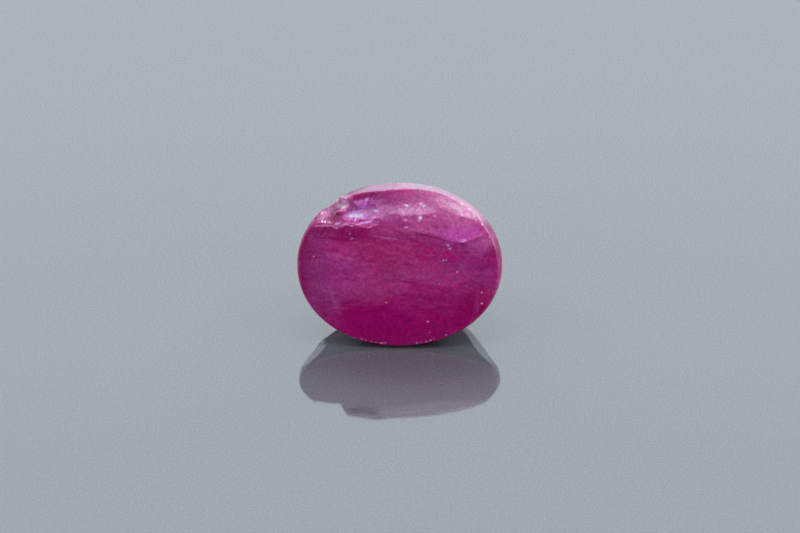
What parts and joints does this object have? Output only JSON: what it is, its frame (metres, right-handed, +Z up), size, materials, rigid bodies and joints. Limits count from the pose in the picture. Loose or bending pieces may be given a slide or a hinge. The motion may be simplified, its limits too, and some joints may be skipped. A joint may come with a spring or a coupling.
{
  "type": "polished oval ruby",
  "caption": "Loose polished oval ruby with a low domed face, a bevelled rim and a faceted back, chipped at the rim, lying on one flat facet of its back.",
  "frame": {"origin": "middle of the stone's footprint, at the height of the facet that it lies on", "axes": "+X along the oval's length, -Y towards the side that the front face looks to, +Z up"},
  "size_m": [0.01, 0.006, 0.007],
  "materials": {
    "ruby": "polished, translucent red-purple, with pale veils and rough breaks"
  },
  "bodies": {
    "root": {"ruby": "ruby"}
  },
  "joints": []
}
